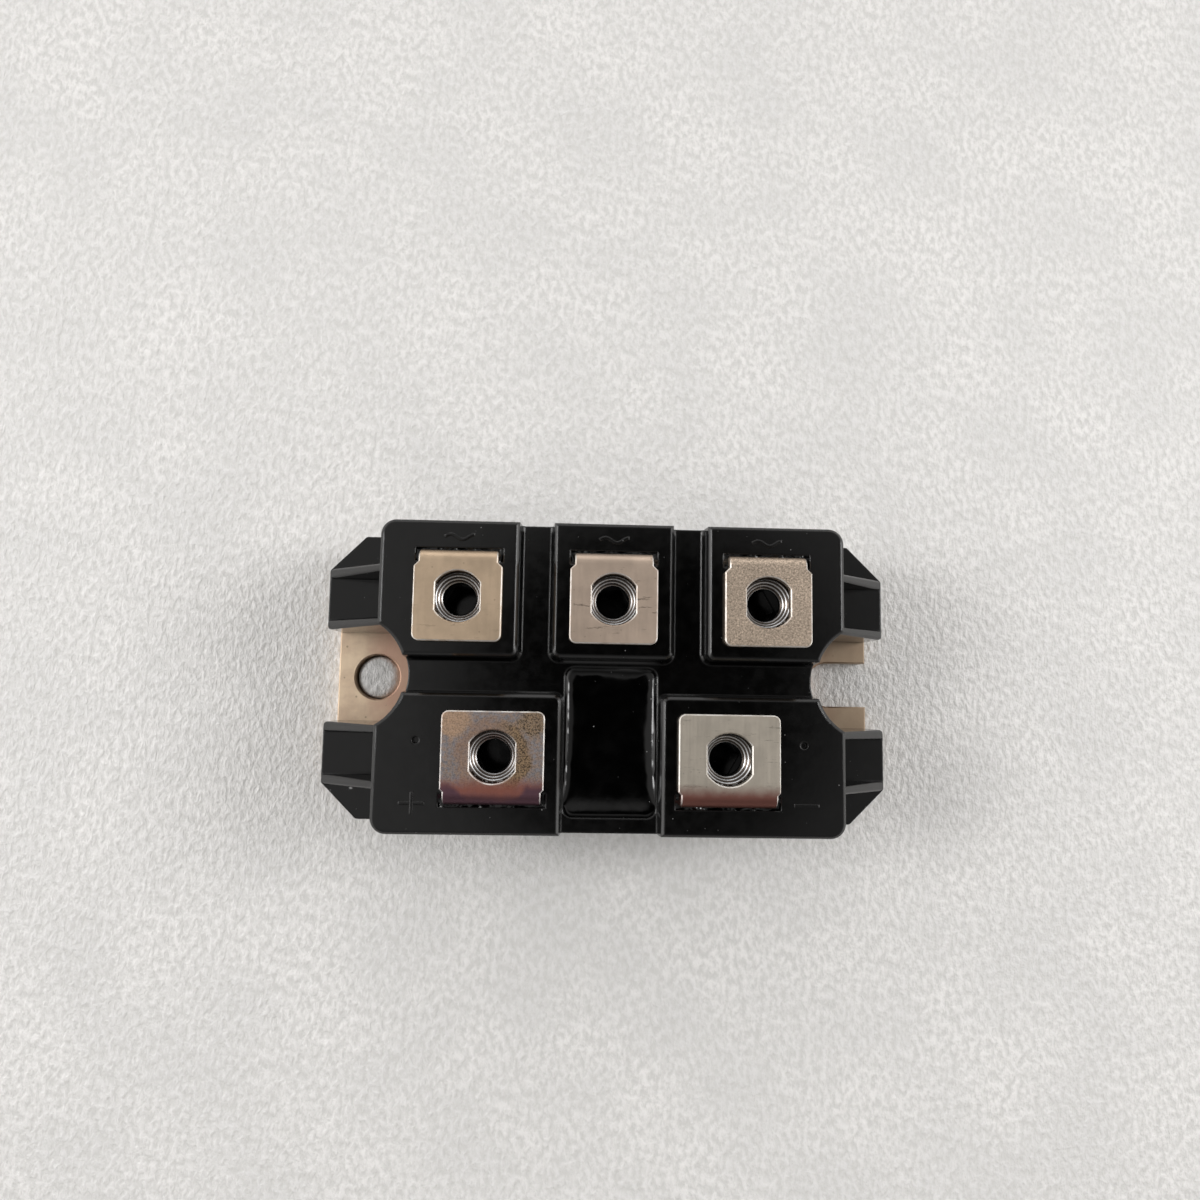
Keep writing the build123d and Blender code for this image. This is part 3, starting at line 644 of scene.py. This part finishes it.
def threaded_nut(name):
    """A hexagon nut with a real thread and a wide countersink, in the place of the plain one."""
    low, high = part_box(f"{name}_nut")
    centre = (low + high) / 2
    half_flats = (high.y - low.y) / 2
    bore = plain_bore(f"{name}_nut", centre)
    top, bottom = high.z, low.z
    corner_circle = half_flats / math.cos(HEXAGON_TURN / 2)
    angles = [math.tau * step / NUT_SIDES for step in range(NUT_SIDES)]

    def outer_radius(angle, z):
        to_flat = (angle % HEXAGON_TURN) - HEXAGON_TURN / 2
        corner = half_flats / math.cos(to_flat)
        cut = (top - z) * math.tan(NUT_CORNER_SLOPE)
        return min(corner, corner_circle - NUT_CORNER_CUT * 2 + cut)

    rings = []
    # Share of painted shade at each point: deep in the grooves, and on the top face
    shade_shares = []
    turns = math.ceil((top - bottom) / THREAD_PITCH)
    for row in range(-THREAD_ROWS, turns * THREAD_ROWS + 1):
        share = max(0.0, THREAD_SLOPE * abs((row / THREAD_ROWS) % 1.0 - 0.5) * 2 - THREAD_CREST)
        groove = THREAD_DEPTH * share
        shade_shares += [share] * NUT_SIDES
        ring = []
        for angle in angles:
            z = bottom + THREAD_PITCH * (row / THREAD_ROWS + angle / math.tau)
            z = min(top, max(bottom, z))
            from_end = min(top - z, z - bottom)
            opening = COUNTERSINK * max(0.0, 1 - from_end / COUNTERSINK_DEPTH)
            ring.append((bore + opening + groove * min(1.0, from_end / THREAD_RUNOUT), angle, z))
        rings.append(ring)
    climbing = len(rings)
    for drop in NUT_RIM_DROPS:
        z = max(bottom, top - drop * MM)
        rings.append([(outer_radius(angle, z), angle, z) for angle in angles])
        shade_shares += [NUT_FACE_SHADE if drop == 0 else 0.0] * NUT_SIDES
    placed = [[(centre.x + r * math.cos(a), centre.y + r * math.sin(a), z) for r, a, z in ring]
              for ring in rings]
    title = f"{name}_threaded_nut"
    mesh = rings_mesh(title, placed, True, THREAD_ROWS, climbing)
    mesh.attributes.new("groove", "FLOAT", "POINT").data.foreach_set("value", shade_shares)
    nut = add_piece(title, mesh, zinc)
    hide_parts(f"{name}_nut")


def plain_bore(node, centre):
    """The radius of a nut's plain bore, from its mesh."""
    return min((v.co.xy - centre.xy).length for v in nodes[node].data.vertices)


def resin_surface():
    """The top of the resin: flat in the middle, and creeping unevenly up the walls of the window."""
    low, high = window_limits()
    outline = rounded_rectangle(low, high, WINDOW_CORNER)
    reach = min(high.x - low.x, high.y - low.y) / 2
    rings = []
    for ring in range(RESIN_RINGS):
        inset = reach * RESIN_INNER_SHARE * (ring / (RESIN_RINGS - 1)) ** RESIN_RING_POWER
        rings.append([resin_point(at, inward, inset, low, high) for at, inward in outline])
    skirt = [Vector((at.x, at.y, low.z - RESIN_SKIRT)) for at, _ in outline]
    add_piece("resin_surface", rings_mesh("resin_surface", [skirt] + rings, False), resin)


def resin_point(at, inward, inset, low, high):
    """One point of the resin's surface, so far in from a point of the window's outline."""
    place = at + inward * inset
    ragged = uneven(at.x, at.y, RAGGED_LAYER, RESIN_RAGGED_SIZE)
    finer = uneven(at.x, at.y, FINER_LAYER, RESIN_RAGGED_SIZE * RESIN_FINER_SIZE)
    steep = RESIN_CREEP * (1 + RESIN_CREEP_RAGGED[0] * ragged + RESIN_CREEP_RAGGED[1] * finer)
    steep_width = RESIN_STEEP_WIDTH * (1 + RESIN_WIDTH_RAGGED[0] * ragged + RESIN_WIDTH_RAGGED[1] * finer)
    swell = RESIN_SWELL * uneven(place.x, place.y, SWELL_LAYER, RESIN_SWELL_SIZE)
    height = gentle_rise(place, low, high) + swell * (1 - math.exp(-inset / RESIN_SIDE_WIDTH))
    height += (steep - gentle_rise(at, low, high)) * math.exp(-inset / steep_width)
    return Vector((place.x, place.y, low.z + height))


def gentle_rise(place, low, high):
    """How far the resin rises over its middle level, away from the steep rim at the walls."""
    sides = math.exp((low.x - place.x) / RESIN_SIDE_WIDTH) + math.exp((place.x - high.x) / RESIN_SIDE_WIDTH)
    return RESIN_SIDE_CREEP * sides + RESIN_FRONT_CREEP * math.exp((low.y - place.y) / RESIN_FRONT_WIDTH)


def window_limits():
    """The corners of the window at the level of the resin, from the mesh of the resin's solid."""
    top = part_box("epoxy_potting")[1].z
    rim = [v.co for v in nodes["epoxy_potting"].data.vertices if v.co.z > top - RESIN_RIM_BAND]
    level = top - RESIN_CREEP + RESIN_LIFT
    low = Vector((min(v.x for v in rim), min(v.y for v in rim), level))
    high = Vector((max(v.x for v in rim), max(v.y for v in rim), level))
    return low, high


def rounded_rectangle(low, high, radius):
    """Points round a rectangle with round corners, each with the direction in which the resin narrows."""
    points = []
    centre = (low + high) / 2
    half = (high - low) / 2
    spine = half.y - half.x
    outline = []
    for index, (side, end) in enumerate([(1, 1), (-1, 1), (-1, -1), (1, -1)]):
        pivot = Vector((side * (half.x - radius), end * (half.y - radius), 0))
        for step in range(CORNER_STEPS + 1):
            turn = math.radians(90) * (index + step / CORNER_STEPS)
            outline.append(pivot + Vector((math.cos(turn), math.sin(turn), 0)) * radius)
    for index, point in enumerate(outline):
        after = outline[(index + 1) % len(outline)]
        count = max(1, round((after - point).length / RESIN_STEP))
        for step in range(count):
            at = point.lerp(after, step / count)
            goal = Vector((0, max(-spine, min(spine, at.y)), 0))
            points.append((centre + Vector((at.x, at.y, 0)), (goal - Vector((at.x, at.y, 0))).normalized()))
    return points


def slot_resin(name):
    """Lumpy resin that has risen in the slot behind a tab, a little below the block's top."""
    low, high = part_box(f"{name}_terminal")
    tab = middle(f"{name}_terminal")
    neck = [v.co.x for v in nodes[f"{name}_terminal"].data.vertices
            if BLOCK_TOP - NECK_DEPTHS[1] < v.co.z < BLOCK_TOP - NECK_DEPTHS[0]]
    left = min(neck, default=low.x) - SLOT_END_GAP
    right = max(neck, default=high.x) + SLOT_END_GAP
    way = 1 if tab.y > 0 else -1
    outer = (high.y if way > 0 else low.y) + way * SLOT_GAP
    inner = outer - way * (SLOT_GAP + TAB_THICKNESS + SLOT_INNER_GAP)
    count = round((right - left) / SLOT_STEP)
    rings = []
    for row in range(SLOT_ACROSS_STEPS + 1):
        y = outer + (inner - outer) * row / SLOT_ACROSS_STEPS
        line = []
        for step in range(count + 1):
            x = left + (right - left) * step / count
            lump = uneven(x, y, LUMP_LAYER, SLOT_LUMP_SIZE)
            finer = uneven(x, y, FINER_LUMP_LAYER, SLOT_LUMP_SIZE * SLOT_FINER_SIZE)
            rise = SLOT_LUMPS * (lump + SLOT_FINER_SHARE * finer)
            line.append(Vector((x, y, BLOCK_TOP - SLOT_DROP + rise)))
        line.append(Vector((right, y, BLOCK_TOP - SLOT_SKIRT)))
        line.append(Vector((left, y, BLOCK_TOP - SLOT_SKIRT)))
        rings.append(line)
    title = f"{name}_slot_resin"
    add_piece(title, rings_mesh(title, rings, False), resin, 70.0)


# Moulded signs
def ridge(name, path):
    """A low rounded ridge along a path on top of a block."""
    slope = []
    for step in range(SIGN_PROFILE_STEPS + 1):
        turn = math.radians(90) * step / SIGN_PROFILE_STEPS
        side = SIGN_FLAT_SHARE + (1 - SIGN_FLAT_SHARE) * math.cos(turn)
        slope.append((side, SIGN_HEIGHT * math.sin(turn)))
    profile = [(-1.0, -SIGN_SUNK)] + [(-side, up) for side, up in slope] + slope[::-1] + [(1.0, -SIGN_SUNK)]
    rings = []
    for index, point in enumerate(path):
        before = path[max(index - 1, 0)]
        after = path[min(index + 1, len(path) - 1)]
        along = (after - before).normalized()
        across = Vector((-along.y, along.x, 0.0)) * SIGN_WIDTH / 2
        rings.append([point + across * side + Vector((0, 0, up)) for side, up in profile])
    return rings_mesh(name, rings, False)


def straight(start, end):
    return [start.lerp(end, step / STROKE_STEPS) for step in range(STROKE_STEPS + 1)]


def wave_sign(name):
    """The wave that marks an alternating-current terminal, behind its tab."""
    low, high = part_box(f"{name}_terminal")
    centre = Vector(((low.x + high.x) / 2, high.y + WAVE_BEHIND_TAB, BLOCK_TOP))
    path = []
    for step in range(WAVE_STEPS + 1):
        share = step / WAVE_STEPS
        rise = WAVE_HEIGHT * math.cos(math.tau * (share - WAVE_CREST) / WAVE_PERIOD)
        path.append(centre + Vector(((share - 0.5) * WAVE_LENGTH, rise, 0)))
    add_piece(f"{name}_sign", ridge(f"{name}_sign", path), plastic)


def line_sign(name, place, size, way, lift=0.0):
    """A straight stroke of a plus or a minus sign."""
    centre = Vector((place[0], place[1], BLOCK_TOP + lift))
    half = way * size / 2
    add_piece(name, ridge(name, straight(centre - half, centre + half)), plastic)


def dress(node, finish):
    """Gives a solid from the frame its finish."""
    mesh = nodes[node].data
    mesh.materials.clear()
    mesh.materials.append(finish)


# Floor, light and camera
def floor(foam):
    """The flat sheet of foam that the module lies on."""
    mesh = bpy.data.meshes.new("floor")
    corners = [(-1, -1), (1, -1), (1, 1), (-1, 1)]
    mesh.from_pydata([(x * FLOOR_SIZE, y * FLOOR_SIZE, 0) for x, y in corners], [], [(0, 1, 2, 3)])
    mesh.materials.append(foam)
    sheet = put("floor", mesh)


def foam_in_hole(foam):
    """The foam that the weight of the module presses up into its round fixing hole."""
    angles = [math.tau * side / BULGE_SIDES for side in range(BULGE_SIDES)]
    rings = []
    for step in range(BULGE_RINGS):
        turn = math.radians(90) * step / BULGE_RINGS
        radius = BULGE_RADIUS * math.cos(turn) ** BULGE_SIDE_POWER
        height = BULGE_HEIGHT * math.sin(turn) ** BULGE_TOP_POWER
        rings.append([FIXING_PLACE + Vector((radius * math.cos(angle), radius * math.sin(angle), height))
                      for angle in angles])
    mesh = rings_mesh("foam_in_hole", rings, False)
    mark_edges(mesh, 80.0)
    mesh.materials.append(foam)
    bulge = put("foam_in_hole", mesh)


def room():
    """A soft pale room: brightest low down and at the left, dim in front and straight above."""
    world = bpy.data.worlds.new("room")
    bpy.context.scene.world = world
    world.use_nodes = True
    around = Finish.of_world(world)
    level = around.span(around.axis("X"), *ACROSS_SPAN, LEFT_SKY, RIGHT_SKY)
    level = around.math("ADD", level, around.span(around.axis("Z"), *HORIZON_SPAN, HORIZON_LIGHT, 0.0))
    level = around.math("MULTIPLY", level, around.span(around.axis("Y"), *FRONT_SPAN, FRONT_LIGHT, 1.0))
    level = around.math("MULTIPLY", level, around.span(around.axis("Y"), *BACK_SPAN, 1.0, BACK_LIGHT))
    overhead = around.node("ShaderNodeVectorMath", {0: around.place, 1: DARK_SPOT},
                           operation="DOT_PRODUCT").outputs["Value"]
    spot = around.span(overhead, *DARK_SPOT_EDGE, 1.0, DARK_SPOT_LIGHT)
    around.plug(around.surface.inputs["Strength"], around.math("MULTIPLY", level, spot))
    around.surface.inputs["Color"].default_value = grey(1.0, 0.015)


def soft_light(name, place, size, power):
    """A square lamp that faces the module."""
    data = bpy.data.lights.new(name, "AREA")
    data.size = size
    data.energy = power
    lamp = put(name, data)
    lamp.location = place
    lamp.rotation_euler = (-Vector(place)).to_track_quat("-Z", "Y").to_euler()


def camera():
    """The camera, where the photograph was taken from."""
    data = bpy.data.cameras.new("camera")
    data.sensor_width = SENSOR_MM
    data.lens = SENSOR_MM * FOCAL_PIXELS / PHOTO_PIXELS
    data.clip_start = CAMERA_NEAR
    seen_from = put("camera", data)
    seen_from.location = CAMERA_PLACE
    seen_from.rotation_euler = CAMERA_TURN
    bpy.context.scene.camera = seen_from


# The module
plastic = moulded_plastic()
zinc = bright_zinc()
resin = black_resin()
metal = copper()
chips = silicon()
plain_finishes = {"housing": plastic, "base_plate": plated_base(), "epoxy_potting": resin,
                  "ceramic_substrate": ceramic(), "silicone_gel": clear_gel(), "substrate_copper": metal}
for node in nodes:
    if node in plain_finishes:
        dress(node, plain_finishes[node])
    elif "diode" in node:
        dress(node, chips)
    elif "track" in node or "clip" in node or "comb" in node:
        dress(node, metal)

tabs = {"ac_1": nickel("ac_1", WARM_NICKEL, marks=0.25), "ac_2": nickel("ac_2", ROSE_NICKEL, marks=0.8),
        "ac_3": nickel("ac_3", PALE_NICKEL, marks=0.5, grain=0.75, pits=0.7),
        "plus": nickel("plus", BLUED_NICKEL, marks=0.3), "minus": nickel("minus", GREY_NICKEL, marks=0.5)}
for terminal, (finish, colour) in tabs.items():
    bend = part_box(f"{terminal}_terminal")[0].y + BEND_LENGTH
    if terminal == "plus":
        colour = heat_tints(finish, colour, terminal, bend)
    if terminal == "minus":
        colour = reddened_bend(finish, colour, bend)
    free_way = -1 if terminal in BACK_ROW else 1
    # Painted highlight on the tab's chamfers
    finish.set(Base_Color=bright_edges(finish, colour, free_way))
    dress(f"{terminal}_terminal", finish.material)
    threaded_nut(terminal)
    slot_resin(terminal)

resin_surface()
for terminal in BACK_ROW:
    wave_sign(terminal)
line_sign("plus_sign_along", PLUS_PLACE, PLUS_WIDTH, Vector((1, 0, 0)))
line_sign("plus_sign_across", PLUS_PLACE, PLUS_HEIGHT, Vector((0, 1, 0)), CROSSING_LIFT)
line_sign("minus_sign", MINUS_PLACE, MINUS_SIZE, Vector((1, 0, 0)))

foam = foam_sheet()
floor(foam)
foam_in_hole(foam)
room()
for lamp in LAMPS:
    soft_light(*lamp)
camera()
bpy.context.scene.view_settings.view_transform = "Standard"
